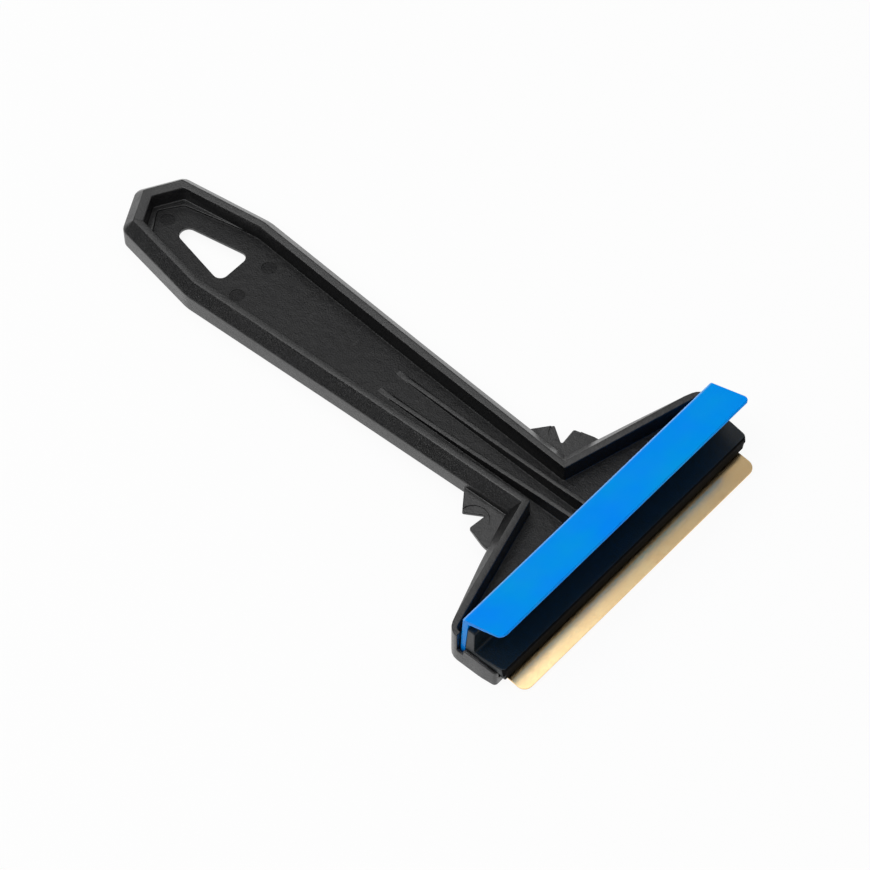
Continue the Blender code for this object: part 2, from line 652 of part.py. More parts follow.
def make_bar(parts, cutters, frame):
    """The clamp over the blade: one section drawn along X, with ribs that press on the blade."""
    side_x = HEAD_END_X - BAR_INSET
    plan = mirrored([
        (HEAD_END_X - BAR_FRONT_IN, -BAR_WIDTH, BAR_CORNER_RADIUS),
        (side_x - SIDE_BOW_IN, -SIDE_BOW_FROM_SLOT, SIDE_BOW_RADIUS),
        (side_x, CUT_MARGIN, 0.0),
    ])
    overlong = 2.0 * (HEAD_END_X + CUT_MARGIN)
    bar = side_prism("blade_clamp", bar_corners(), overlong, parts, frame)
    outline = plan_prism("clamp_outline", plan, -CUT_MARGIN, CUT_MARGIN, cutters, frame)
    combine(bar, outline, "INTERSECT")
    free_bar_ends(bar, cutters, frame)
    rib_front = BAR_UNDERCUT + BAR_FOOT_RADIUS - BAR_WIDTH
    rib_back = -BLADE_BACK_MARGIN - FIT
    for index in range(CRUSH_RIB_COUNT):
        middle = (index - (CRUSH_RIB_COUNT - 1) / 2.0) * CRUSH_RIB_PITCH
        rib = side_prism(f"crush_rib_{index}", [
            (rib_front, BAR_BOTTOM_Z - CRUSH_RIB_HEIGHT, 0.0),
            (rib_back, BAR_BOTTOM_Z - CRUSH_RIB_HEIGHT, 0.0),
            (rib_back, BAR_BOTTOM_Z + BAR_FOOT_RADIUS, 0.0),
            (rib_front, BAR_BOTTOM_Z + BAR_FOOT_RADIUS, 0.0),
        ], CRUSH_RIB_WIDTH, cutters, frame, middle)
        combine(bar, rib, "UNION")
    finish(bar, plastic("bar_plastic", (0.024, 0.025, 0.028), 0.38))


def make_blade(parts, frame):
    """The brass blade: a flat plate with rounded front corners."""
    half = BLADE_WIDTH / 2.0
    front = -BAR_WIDTH - BLADE_OVERHANG
    back = -BLADE_BACK_MARGIN
    corners = [
        (half, front, BLADE_CORNER_RADIUS),
        (half, back, BLADE_BACK_RADIUS),
        (-half, back, BLADE_BACK_RADIUS),
        (-half, front, BLADE_CORNER_RADIUS),
    ]
    blade = plan_prism("brass_blade", corners, BLADE_BOTTOM_Z, BLADE_TOP_Z, parts, frame)
    finish(blade, plastic("brass", (0.72, 0.52, 0.30), 0.3, 1.0))


def strip_corners():
    """Section of the strip as (y, z) corners, from its foot up the back and round the flange."""
    foot_z = SHELF_Z + FIT
    foot_back = FIT + STRIP_FOOT_THICKNESS
    back_top = Vector((foot_back - STRIP_LEG_LEAN, STRIP_LEG_TOP))
    along = Vector((-math.cos(STRIP_FLANGE_TILT), math.sin(STRIP_FLANGE_TILT)))
    below = Vector((-along.y, along.x))
    edge_top = back_top + along * STRIP_FLANGE_WIDTH
    edge_bottom = edge_top + below * STRIP_EDGE_THICKNESS
    under = back_top + below * STRIP_FLANGE_THICKNESS
    leg_front = back_top.x - STRIP_LEG_THICKNESS
    inner = under + along * (leg_front - under.x) / along.x
    return [
        (FIT, foot_z, 0.0),
        (foot_back, foot_z, 0.0),
        (foot_back, BAR_TOP_Z, 0.0),
        (back_top.x, back_top.y, STRIP_BACK_RADIUS),
        (edge_top.x, edge_top.y, STRIP_EDGE_RADIUS),
        (edge_bottom.x, edge_bottom.y, STRIP_EDGE_RADIUS),
        (inner.x, inner.y, STRIP_INNER_RADIUS),
        (FIT, -STRIP_LEAN_DEPTH, 0.0),
    ]


def make_strip(parts, cutters, frame):
    """The rubber strip: one section drawn along X, with its flange's corners rounded."""
    overlong = STRIP_LENGTH + CUT_MARGIN
    strip = side_prism("squeegee_strip", strip_corners(), overlong, parts, frame)
    half = STRIP_LENGTH / 2.0
    front = min(corner[0] for corner in strip_corners())
    corners = [
        (half, front, STRIP_CORNER_RADIUS),
        (half, CUT_MARGIN, 0.0),
        (-half, CUT_MARGIN, 0.0),
        (-half, front, STRIP_CORNER_RADIUS),
    ]
    trim = plan_prism("strip_corners", corners, -CUT_MARGIN, 2.0 * CUT_MARGIN, cutters, frame)
    combine(strip, trim, "INTERSECT")
    finish(strip, plastic("blue_rubber", (0.0, 0.21, 0.76), 0.22))


def rest_frame():
    """The empty that lays the rim's frame down: its underside level at z = 0, the length centred."""
    level = Matrix.Rotation(-REST_PITCH, 4, "X")
    touch = level @ Vector((0.0, REST_HEAD_Y, -HEAD_DEPTH))
    front = level @ Vector((0.0, -BAR_WIDTH - BLADE_OVERHANG, BLADE_TOP_Z))
    gable = max(point[1] for point in fillet(grow(rim_corners(), CHAMFER_OUT)))
    back = level @ Vector((0.0, gable, -CHAMFER_DOWN))
    frame = bpy.data.objects.new("rim_frame", None)
    bpy.context.scene.collection.objects.link(frame)
    frame.rotation_euler = (-REST_PITCH, 0.0, 0.0)
    frame.location = (0.0, -(front.y + back.y) / 2.0, -touch.z)
    return frame


def main():
    """Build the ice scraper."""
    clear_scene()
    parts = new_collection("ice_scraper")
    cutters = new_collection("cutters")
    frame = rest_frame()
    bpy.context.view_layer.update()
    make_body(parts, cutters, frame)
    make_bar(parts, cutters, frame)
    make_blade(parts, frame)
    make_strip(parts, cutters, frame)


if __name__ == "__main__":
    main()
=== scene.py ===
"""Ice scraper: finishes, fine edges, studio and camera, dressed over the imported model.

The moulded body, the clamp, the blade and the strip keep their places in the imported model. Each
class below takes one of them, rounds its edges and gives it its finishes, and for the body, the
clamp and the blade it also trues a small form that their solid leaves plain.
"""

from __future__ import annotations

import logging
import math
from dataclasses import dataclass
from enum import Enum

import bmesh
import bpy
from mathutils import Matrix, Vector

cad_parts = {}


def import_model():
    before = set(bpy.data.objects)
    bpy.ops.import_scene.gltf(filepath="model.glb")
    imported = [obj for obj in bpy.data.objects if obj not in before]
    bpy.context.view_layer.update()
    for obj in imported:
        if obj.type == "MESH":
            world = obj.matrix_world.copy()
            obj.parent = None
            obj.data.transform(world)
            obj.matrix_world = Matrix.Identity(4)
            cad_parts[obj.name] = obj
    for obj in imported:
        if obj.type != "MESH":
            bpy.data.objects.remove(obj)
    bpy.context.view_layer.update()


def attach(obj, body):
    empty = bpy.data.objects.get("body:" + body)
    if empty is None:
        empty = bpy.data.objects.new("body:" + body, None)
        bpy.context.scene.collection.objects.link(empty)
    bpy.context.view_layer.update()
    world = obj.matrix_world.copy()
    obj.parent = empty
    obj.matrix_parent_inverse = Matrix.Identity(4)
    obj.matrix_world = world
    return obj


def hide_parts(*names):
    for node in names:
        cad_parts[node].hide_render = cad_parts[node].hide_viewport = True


LOG = logging.getLogger("ice_scraper")

MM = 0.001

Colour = tuple[float, float, float]
Point = tuple[float, float, float]
Source = bpy.types.NodeSocket | float | Colour

# The span in which most values of a noise lie.
NOISE_SPAN = (0.3, 0.7)

WHITE: Colour = (1.0, 1.0, 1.0)
MOULDED_BLACK: Colour = (0.004, 0.0041, 0.0046)
SCUFFED_BLACK: Colour = (0.02, 0.02, 0.021)


class Socket(Enum):
    """Kinds of node group socket."""

    VALUE = "NodeSocketFloat"
    VECTOR = "NodeSocketVector"


class BodyFace(Enum):
    """Slots of the body's finishes."""

    SATIN = 0
    CHANNEL_FLOOR = 1
    PIN_MARK = 2


class ClampFace(Enum):
    """Slots of the clamp's finishes."""

    BAR = 0
    FRONT = 1


def add_object(name: str, data: bpy.types.ID) -> bpy.types.Object:
    """Add an object to the scene, at the origin and unturned.

    Args:
        name: the object's name.
        data: its mesh, lamp or camera.

    Returns:
        The new object.
    """
    item = bpy.data.objects.new(name, data)
    bpy.context.scene.collection.objects.link(item)
    return item


def as_rgba(colour: Colour) -> tuple[float, float, float, float]:
    """Give a colour the fourth value that a colour socket takes."""
    return (*colour, 1.0)


@dataclass(frozen=True)
class RimFrame:
    """The frame of the handle's rim, in which the scraper was measured.

    X runs along the blade, Y from the strip's slot to the handle's end, and Z is 0 on the rim.
    Where the scraper lies on a table, this frame is tipped a little about X and shifted in Y and Z.
    """

    tip: float = 0.0140906
    shift: tuple[float, float] = (-79.1564 * MM, 12.5524 * MM)

    def matrix(self) -> Matrix:
        """Transform from the rim's frame to the part's frame.

        Returns:
            A 4 by 4 matrix: a turn about X, then a shift that puts the table at z = 0.
        """
        turn = Matrix.Rotation(-self.tip, 4, "X")
        return Matrix.Translation((0.0, *self.shift)) @ turn


@dataclass(frozen=True)
class PhotoCamera:
    """The photograph's camera, solved in the rim's frame."""

    azimuth: float = math.radians(-48.16)
    elevation: float = math.radians(55.15)
    distance: float = 960.85 * MM
    target: tuple[float, float] = (-8.52 * MM, 50.96 * MM)
    lens: float = 140.85
    sensor: float = 36.0
    nearest: float = 10.0 * MM
    farthest: float = 20.0

    def build(self, rim: RimFrame) -> None:
        """Make the scene's camera.

        Args:
            rim: the frame that the camera was solved in.
        """
        sin_a, cos_a = math.sin(self.azimuth), math.cos(self.azimuth)
        sin_e, cos_e = math.sin(self.elevation), math.cos(self.elevation)
        back = Vector((sin_a * cos_e, -cos_a * cos_e, sin_e))
        right = Vector((cos_a, sin_a, 0.0))
        up = back.cross(right)
        spot = Vector((*self.target, 0.0)) + back * self.distance
        pose = Matrix((
            (right.x, up.x, back.x, spot.x),
            (right.y, up.y, back.y, spot.y),
            (right.z, up.z, back.z, spot.z),
            (0.0, 0.0, 0.0, 1.0),
        ))
        data = bpy.data.cameras.new("photo_camera")
        data.lens = self.lens
        data.sensor_width = self.sensor
        data.sensor_fit = "HORIZONTAL"
        data.clip_start = self.nearest
        data.clip_end = self.farthest
        camera = add_object("photo_camera", data)
        camera.matrix_world = rim.matrix() @ pose
        bpy.context.scene.camera = camera


class ShaderTree:
    """A material's node tree, or a node group's, with short calls to add and join nodes."""

    def __init__(self, tree: bpy.types.NodeTree) -> None:
        """Wrap a tree."""
        self.tree = tree

    def add(self, kind: str, **settings: object) -> bpy.types.Node:
        """Add a node.

        Args:
            kind: the node's type name.
            settings: its properties.

        Returns:
            The new node.
        """
        node = self.tree.nodes.new(kind)
        for name, value in settings.items():
            setattr(node, name, value)
        return node

    def put(self, socket: bpy.types.NodeSocket, value: Source) -> None:
        """Join a socket's source to it, or set its value where the source is a number.

        Args:
            socket: the input.
            value: an output socket, a number or a colour.
        """
        if isinstance(value, bpy.types.NodeSocket):
            self.tree.links.new(value, socket)
        elif socket.type == "RGBA":
            socket.default_value = as_rgba(value)
        else:
            socket.default_value = value

    def surface(self) -> bpy.types.NodeSocket:
        """Give the place on the surface, in the object's own coordinates."""
        return self.add("ShaderNodeTexCoord").outputs["Object"]

    def stretch(self, where: Source, scale: Point, turn: float = 0.0) -> bpy.types.NodeSocket:
        """Add a Mapping node that turns a pattern about Z and stretches it.

        Args:
            where: the pattern's coordinates.
            scale: how many times finer it gets along each axis.
            turn: its angle.

        Returns:
            The new coordinates.
        """
        node = self.add("ShaderNodeMapping")
        node.inputs["Rotation"].default_value = (0.0, 0.0, turn)
        node.inputs["Scale"].default_value = scale
        self.put(node.inputs["Vector"], where)
        return node.outputs["Vector"]

    def maths(self, operation: str, first: Source, second: Source) -> bpy.types.NodeSocket:
        """Add a Math node.

        Args:
            operation: the node's operation.
            first: a socket or a number.
            second: a socket or a number.

        Returns:
            The node's result.
        """
        node = self.add("ShaderNodeMath", operation=operation)
        self.put(node.inputs[0], first)
        self.put(node.inputs[1], second)
        return node.outputs[0]

    def noise(self, where: Source, scale: Source, detail: float) -> bpy.types.NodeSocket:
        """Add a Noise Texture.

        Args:
            where: its coordinates.
            scale: cells to the metre.
            detail: octaves.

        Returns:
            The noise's value.
        """
        node = self.add("ShaderNodeTexNoise")
        self.put(node.inputs["Vector"], where)
        self.put(node.inputs["Scale"], scale)
        node.inputs["Detail"].default_value = detail
        return node.outputs[0]

    def remap(
        self, value: Source, low: Source, high: Source, to_low: Source, to_high: Source
    ) -> bpy.types.NodeSocket:
        """Add a Map Range node.

        Args:
            value: what is mapped.
            low: the value that becomes to_low.
            high: the value that becomes to_high.
            to_low: the low end of the result.
            to_high: the high end of the result.

        Returns:
            The mapped value.
        """
        node = self.add("ShaderNodeMapRange")
        numbers = (value, low, high, to_low, to_high)
        names = ("Value", "From Min", "From Max", "To Min", "To Max")
        for name, number in zip(names, numbers):
            self.put(node.inputs[name], number)
        return node.outputs["Result"]

    def blend(self, share: Source, first: Source, second: Source) -> bpy.types.NodeSocket:
        """Add a Mix node for two colours.

        Args:
            share: how much of the second shows.
            first: a colour, or the socket that gives it.
            second: another.

        Returns:
            The mixed colour.
        """
        node = self.add("ShaderNodeMix", data_type="RGBA")
        self.put(node.inputs["Factor"], share)
        for socket in node.inputs:
            if socket.type == "RGBA":
                self.put(socket, first if socket.identifier.startswith("A") else second)
        return next(out for out in node.outputs if out.type == "RGBA")

    def bump(self, height: Source, depth: float, strength: float) -> bpy.types.NodeSocket:
        """Add a Bump node.

        Args:
            height: the surface's height.
            depth: the distance that a height of 1 stands for.
            strength: how much of it shows.

        Returns:
            The bumped normal.
        """
        node = self.add("ShaderNodeBump")
        node.inputs["Distance"].default_value = depth
        node.inputs["Strength"].default_value = strength
        self.put(node.inputs["Height"], height)
        return node.outputs["Normal"]

    def use(self, group: bpy.types.NodeTree, **values: Source) -> bpy.types.NodeSocket:
        """Place a node group.

        Args:
            group: the group's tree.
            values: a socket or number for each of its inputs.

        Returns:
            The group's one output.
        """
        node = self.add("ShaderNodeGroup", node_tree=group)
        for name, value in values.items():
            self.put(node.inputs[name], value)
        return node.outputs[0]


class SharedEffects:
    """Node groups that several finishes use."""

    GRAIN_OCTAVES = 3.0
    WAVE_CELLS_SHARE = 0.17
    WAVE_OCTAVES = 1.0
    DRIFT_OCTAVES = 2.0
    SCUFF_OCTAVES = 2.0
    SCUFF_TURN = math.radians(38.0)
    SCUFF_STRETCH: Point = (0.12, 1.0, 1.0)
    SCUFF_SPAN = (0.66, 0.74)
    PATCH_CELLS_SHARE = 0.06
    PATCH_OCTAVES = 1.0
    PATCH_SPAN = (0.5, 0.62)

    def __init__(self) -> None:
        """Build each group once."""
        self.grain = self.make_grain()
        self.drift = self.make_drift()
        self.scuffs = self.make_scuffs()

    @staticmethod
    def start(
        name: str, inputs: dict[str, Socket], output: str
    ) -> tuple[ShaderTree, bpy.types.Node, bpy.types.Node]:
        """Start a group with its sockets.

        Args:
            name: the group's name.
            inputs: each input's name and kind.
            output: the name of its one output value.

        Returns:
            The group's tree, its input node and its output node.
        """
        group = bpy.data.node_groups.new(name, "ShaderNodeTree")
        for label, kind in inputs.items():
            group.interface.new_socket(label, in_out="INPUT", socket_type=kind.value)
        group.interface.new_socket(output, in_out="OUTPUT", socket_type=Socket.VALUE.value)
        tree = ShaderTree(group)
        return tree, tree.add("NodeGroupInput"), tree.add("NodeGroupOutput")

    def make_grain(self) -> bpy.types.NodeTree:
        """Make the height of a fine moulded grain over a faint, wider waviness.

        Returns:
            The group's tree.
        """
        inputs = {"Where": Socket.VECTOR, "Cells": Socket.VALUE}
        tree, given, result = self.start("moulded_grain", inputs, "Height")
        where, cells = given.outputs["Where"], given.outputs["Cells"]
        fine = tree.noise(where, cells, self.GRAIN_OCTAVES)
        wave_cells = tree.maths("MULTIPLY", cells, self.WAVE_CELLS_SHARE)
        wave = tree.noise(where, wave_cells, self.WAVE_OCTAVES)
        tree.put(result.inputs["Height"], tree.maths("ADD", fine, wave))
        return tree.tree

    def make_drift(self) -> bpy.types.NodeTree:
        """Make a value that drifts slowly over the surface between two limits.

        Returns:
            The group's tree.
        """
        inputs = {
            "Where": Socket.VECTOR, "Cells": Socket.VALUE,
            "Low": Socket.VALUE, "High": Socket.VALUE,
        }
        tree, given, result = self.start("slow_drift", inputs, "Value")
        cloud = tree.noise(given.outputs["Where"], given.outputs["Cells"], self.DRIFT_OCTAVES)
        value = tree.remap(cloud, *NOISE_SPAN, given.outputs["Low"], given.outputs["High"])
        tree.put(result.inputs["Value"], value)
        return tree.tree

    def make_scuffs(self) -> bpy.types.NodeTree:
        """Make a mask of sparse, fine scuffs, such as handling leaves.

        Returns:
            The group's tree.
        """
        inputs = {"Where": Socket.VECTOR, "Cells": Socket.VALUE}
        tree, given, result = self.start("fine_scuffs", inputs, "Mask")
        where, cells = given.outputs["Where"], given.outputs["Cells"]
        turned = tree.stretch(where, self.SCUFF_STRETCH, self.SCUFF_TURN)
        streaks = tree.noise(turned, cells, self.SCUFF_OCTAVES)
        patch_cells = tree.maths("MULTIPLY", cells, self.PATCH_CELLS_SHARE)
        patches = tree.noise(where, patch_cells, self.PATCH_OCTAVES)
        sharp = tree.remap(streaks, *self.SCUFF_SPAN, 0.0, 1.0)
        handled = tree.remap(patches, *self.PATCH_SPAN, 0.0, 1.0)
        tree.put(result.inputs["Mask"], tree.maths("MULTIPLY", sharp, handled))
        return tree.tree


def new_material(name: str) -> tuple[bpy.types.Material, ShaderTree, bpy.types.Node]:
    """Make a material.

    Args:
        name: the material's name.

    Returns:
        The material, its tree and its Principled BSDF.
    """
    material = bpy.data.materials.new(name)
    material.use_nodes = True
    tree = ShaderTree(material.node_tree)
    return material, tree, material.node_tree.nodes["Principled BSDF"]


@dataclass(frozen=True)
class MouldedPlastic:
    """Black plastic from a mould: satin, with a fine grain, and faintly scuffed.

    Every kind of cells is counted to the metre.
    """

    name: str
    tone: Colour
    scuffed: Colour
    roughness: float
    roughness_drift: float = 0.04
    drift_cells: float = 70.0
    scuff_cells: float = 900.0
    grain_cells: float = 2200.0
    grain_depth: float = 0.18 * MM
    grain_strength: float = 1.0
    shine: float = 0.5
    coat: float = 0.0
    coat_roughness: float = 0.14

    def build(self, effects: SharedEffects) -> bpy.types.Material:
        """Make the finish's material.

        Args:
            effects: the shared node groups.

        Returns:
            The material.
        """
        material, tree, shader = new_material(self.name)
        shader.inputs["Specular IOR Level"].default_value = self.shine
        shader.inputs["Coat Weight"].default_value = self.coat
        shader.inputs["Coat Roughness"].default_value = self.coat_roughness
        where = tree.surface()
        scuffs = tree.use(effects.scuffs, Where=where, Cells=self.scuff_cells)
        tree.put(shader.inputs["Base Color"], tree.blend(scuffs, self.tone, self.scuffed))
        rough = tree.use(
            effects.drift, Where=where, Cells=self.drift_cells,
            Low=self.roughness - self.roughness_drift, High=self.roughness + self.roughness_drift,
        )
        tree.put(shader.inputs["Roughness"], rough)
        grain = tree.use(effects.grain, Where=where, Cells=self.grain_cells)
        tree.put(shader.inputs["Normal"], tree.bump(grain, self.grain_depth, self.grain_strength))
        return material


@dataclass(frozen=True)
class BrassSheet:
    """Rolled brass with fine lines along the roll and a slow drift of tarnish."""

    name: str = "brass_sheet"
    tone: Colour = (0.96, 0.72, 0.39)
    tarnish: Colour = (0.92, 0.64, 0.33)
    tarnish_cells: float = 260.0
    most_tarnish: float = 0.8
    smoothest: float = 0.15
    roughest: float = 0.22
    line_stretch: Point = (0.15, 1.0, 1.0)
    line_cells: float = 6000.0
    line_octaves: float = 3.0
    line_depth: float = 0.001 * MM
    line_strength: float = 0.3

    def build(self, effects: SharedEffects) -> bpy.types.Material:
        """Make the finish's material.

        Args:
            effects: the shared node groups.

        Returns:
            The material.
        """
        material, tree, shader = new_material(self.name)
        shader.inputs["Metallic"].default_value = 1.0
        where = tree.surface()
        dull = tree.use(
            effects.drift, Where=where, Cells=self.tarnish_cells, Low=0.0, High=self.most_tarnish
        )
        tree.put(shader.inputs["Base Color"], tree.blend(dull, self.tone, self.tarnish))
        along = tree.stretch(where, self.line_stretch)
        lines = tree.noise(along, self.line_cells, self.line_octaves)
        rough = tree.remap(lines, *NOISE_SPAN, self.smoothest, self.roughest)
        tree.put(shader.inputs["Roughness"], rough)
        tree.put(shader.inputs["Normal"], tree.bump(lines, self.line_depth, self.line_strength))
        return material


@dataclass(frozen=True)
class StripRubber:
    """Bright blue squeegee rubber, smooth and a little glossy, with a painted highlight on its back
    edge.
    """

    name: str = "strip_rubber"
    tone: Colour = (0.0, 0.27, 0.98)
    deep: Colour = (0.0, 0.33, 0.86)
    cloud_cells: float = 60.0
    # A paler blue, painted along the back edge as a highlight on its rounded ridge.
    highlight_tone: Colour = (0.3, 0.58, 0.98)
    highlight_peak: float = 0.6
    back_edge: tuple[float, float] = (-77.69 * MM, 20.73 * MM)
    highlight_core: float = 0.36 * MM
    highlight_width: float = 1.2 * MM
    roughness: float = 0.22
    roughness_drift: float = 0.03
    drift_cells: float = 90.0
    shine: float = 0.1
    grain_cells: float = 1300.0
    grain_depth: float = 0.006 * MM
    grain_strength: float = 0.3

    def highlight_share(self, tree: ShaderTree, where: Source) -> bpy.types.NodeSocket:
        """Work out the painted highlight's share from the distance to the back edge in Y and Z.

        Args:
            tree: the material's tree.
            where: the place on the surface.

        Returns:
            The share of the rubbed colour.
        """
        place = tree.add("ShaderNodeSeparateXYZ")
        tree.put(place.inputs["Vector"], where)
        away = [
            tree.maths("ABSOLUTE", tree.maths("SUBTRACT", place.outputs[axis], edge), 0.0)
            for axis, edge in zip("YZ", self.back_edge)
        ]
        distance = tree.maths("ADD", *away)
        return tree.remap(distance, self.highlight_core, self.highlight_width, self.highlight_peak, 0.0)

    def build(self, effects: SharedEffects) -> bpy.types.Material:
        """Make the finish's material.

        Args:
            effects: the shared node groups.

        Returns:
            The material.
        """
        material, tree, shader = new_material(self.name)
        shader.inputs["Specular IOR Level"].default_value = self.shine
        where = tree.surface()
        cloud = tree.use(effects.drift, Where=where, Cells=self.cloud_cells, Low=0.0, High=1.0)
        blue = tree.blend(cloud, self.tone, self.deep)
        # Paler along the back edge: a painted highlight on the strip's rounded ridge.
        highlighted = tree.blend(self.highlight_share(tree, where), blue, self.highlight_tone)
        tree.put(shader.inputs["Base Color"], highlighted)
        rough = tree.use(
            effects.drift, Where=where, Cells=self.drift_cells,
            Low=self.roughness - self.roughness_drift, High=self.roughness + self.roughness_drift,
        )
        tree.put(shader.inputs["Roughness"], rough)
        grain = tree.use(effects.grain, Where=where, Cells=self.grain_cells)
        tree.put(shader.inputs["Normal"], tree.bump(grain, self.grain_depth, self.grain_strength))
        return material


@dataclass
class DressedNode:
    """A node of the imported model: its mesh is copied and merged, and its edges are rounded."""

    node: str
    edge_radius: float
    rim: RimFrame = RimFrame()
    edge_steps: int = 2
    edge_angle: float = math.radians(30.0)
    face_share: float = 0.3
    merge: float = 0.002 * MM
    flat_angle: float = math.radians(0.4)

    def reshape(self, shape: bmesh.types.BMesh) -> None:
        """True the copy's small forms. A plain node has none.

        Args:
            shape: the copied mesh, in the rim's frame. A plain node doesn't use it.
        """

    def weigh_edges(self, shape: bmesh.types.BMesh) -> None:
        """Give each sharp edge its share of the edge radius: all of it, or less by a narrow face.

        Args:
            shape: the copied mesh.
        """
        layer = shape.edges.layers.float.new("bevel_weight_edge")
        for edge in shape.edges:
            if len(edge.link_faces) != 2 or edge.calc_face_angle(0.0) < self.edge_angle:
                continue
            width = min(face.calc_area() for face in edge.link_faces) / edge.calc_length()
            edge[layer] = min(1.0, self.face_share * width / self.edge_radius)

    def copied_mesh(self) -> bpy.types.Mesh:
        """Copy the node's mesh, merge its loose triangles and dissolve the edges on flat faces.

        Returns:
            The new mesh.
        """
        source = bpy.data.objects[self.node]
        mesh = source.data.copy()
        mesh.name = f"{self.node}_dressed"
        mesh.materials.clear()
        mesh.transform(self.rim.matrix().inverted() @ source.matrix_world)
        shape = bmesh.new()
        shape.from_mesh(mesh)
        bmesh.ops.remove_doubles(shape, verts=shape.verts, dist=self.merge)
        self.reshape(shape)
        shape.normal_update()
        bmesh.ops.dissolve_limit(
            shape, angle_limit=self.flat_angle, verts=shape.verts, edges=shape.edges,
            delimit={"MATERIAL"},
        )
        self.weigh_edges(shape)
        shape.to_mesh(mesh)
        shape.free()
        mesh.transform(self.rim.matrix())
        return mesh

    def build(self, *materials: bpy.types.Material) -> bpy.types.Object:
        """Make the piece that stands for the node.

        Args:
            materials: its finishes, in the order of the faces' slots.

        Returns:
            The new object.
        """
        mesh = self.copied_mesh()
        for material in materials:
            mesh.materials.append(material)
        mesh.shade_smooth()
        piece = add_object(f"{self.node}_dressed", mesh)
        bevel = piece.modifiers.new("rounded_edges", "BEVEL")
        bevel.width = self.edge_radius
        bevel.segments = self.edge_steps
        bevel.limit_method = "WEIGHT"
        bevel.use_clamp_overlap = False
        bevel.miter_outer = "MITER_ARC"
        weigh = piece.modifiers.new("flat_faces_stay_flat", "WEIGHTED_NORMAL")
        weigh.mode = "FACE_AREA"
        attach(piece, "root")
        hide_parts(self.node)
        return piece


@dataclass
class MouldedBody(DressedNode):
    """The body: the handle's rim falls a little toward the channel, as it does after cooling."""

    rim_fall: float = 0.13 * MM
    fall_starts: float = 14.0 * MM
    fall_full: float = 34.0 * MM
    level: float = 0.02 * MM
    floor_upward: float = 0.95
    wall_upward: float = 0.5
    floor_depth: float = 6.3 * MM
    mark_depth: float = 0.2 * MM

    def choose_finishes(self, shape: bmesh.types.BMesh) -> None:
        """Give the channel's floor and the pins' marks their own finishes.

        Args:
            shape: the copied mesh, in the rim's frame.
        """
        slots = {
            self.floor_depth: BodyFace.CHANNEL_FLOOR,
            self.floor_depth + self.mark_depth: BodyFace.PIN_MARK,
        }
        for face in shape.faces:
            face.material_index = BodyFace.SATIN.value
            if face.normal.z < self.floor_upward:
                continue
            for depth, slot in slots.items():
                if abs(face.calc_center_median().z + depth) < self.level:
                    face.material_index = slot.value

    def reshape(self, shape: bmesh.types.BMesh) -> None:
        """Choose the faces' finishes, and lower the rim's inner edge along the handle.

        Args:
            shape: the copied mesh, in the rim's frame.
        """
        shape.normal_update()
        self.choose_finishes(shape)
        lowered = []
        for vert in shape.verts:
            if abs(vert.co.z) > self.level or vert.co.y < self.fall_starts:
                continue
            walls = [face for face in vert.link_faces if abs(face.normal.z) < self.wall_upward]
            inner = any(
                face.normal.x * face.calc_center_median().x < 0.0
                or face.normal.y < -self.wall_upward
                for face in walls
            )
            if inner:
                share = (vert.co.y - self.fall_starts) / (self.fall_full - self.fall_starts)
                lowered.append((vert, self.rim_fall * min(1.0, share)))
        for vert, fall in lowered:
            vert.co.z -= fall


@dataclass
class BentBlade(DressedNode):
    """The blade: its free part hangs a few degrees and its left end stands out a little less."""

    hang: float = math.radians(6.8)
    bend_starts: float = -12.7 * MM
    bend_length: float = 0.7 * MM
    bend_cuts: int = 4
    cut_merge: float = 0.0005 * MM
    short_left: float = 0.3 * MM
    half_width: float = 50.0 * MM
    front: float = -19.4 * MM

    def reshape(self, shape: bmesh.types.BMesh) -> None:
        """Bend the free part down, and draw its left end in a little.

        Args:
            shape: the copied mesh, in the rim's frame.
        """
        for index in range(self.bend_cuts + 1):
            cut = self.bend_starts - self.bend_length * index / self.bend_cuts
            bmesh.ops.bisect_plane(
                shape, geom=shape.verts[:] + shape.edges[:] + shape.faces[:],
                plane_co=(0.0, cut, 0.0), plane_no=(0.0, 1.0, 0.0), dist=self.cut_merge,
            )
        for vert in shape.verts:
            out = self.bend_starts - vert.co.y
            if out <= 0.0:
                continue
            # The slope grows evenly over the bend, and stays the same beyond it.
            curved = min(out, self.bend_length)
            sloped = curved * curved / (2.0 * self.bend_length) + out - curved
            vert.co.z -= math.tan(self.hang) * sloped
            toward_front = out / (self.bend_starts - self.front)
            toward_left = (self.half_width - vert.co.x) / (2.0 * self.half_width)
            vert.co.y += self.short_left * toward_front * toward_left


@dataclass
class FrontClamp(DressedNode):
    """The clamp: its front face leans in only a little below the lip, and lies in shade."""

    lip_depth: float = 3.7 * MM
    foot_depth: float = 9.5 * MM
    foot_forward: float = 1.0 * MM
    behind_lip: float = -9.0 * MM
    facing_front: float = 0.3

    def reshape(self, shape: bmesh.types.BMesh) -> None:
        """Bring the foot of the front face forward, and give that face its own finish.

        Args:
            shape: the copied mesh, in the rim's frame.
        """
        for vert in shape.verts:
            below = -vert.co.z - self.lip_depth
            if vert.co.y < self.behind_lip and below > 0.0:
                share = min(1.0, below / (self.foot_depth - self.lip_depth))
                vert.co.y -= self.foot_forward * share
        shape.normal_update()
        for face in shape.faces:
            ahead = face.calc_center_median().y < self.behind_lip
            front = ahead and face.normal.y < -self.facing_front
            face.material_index = (ClampFace.FRONT if front else ClampFace.BAR).value


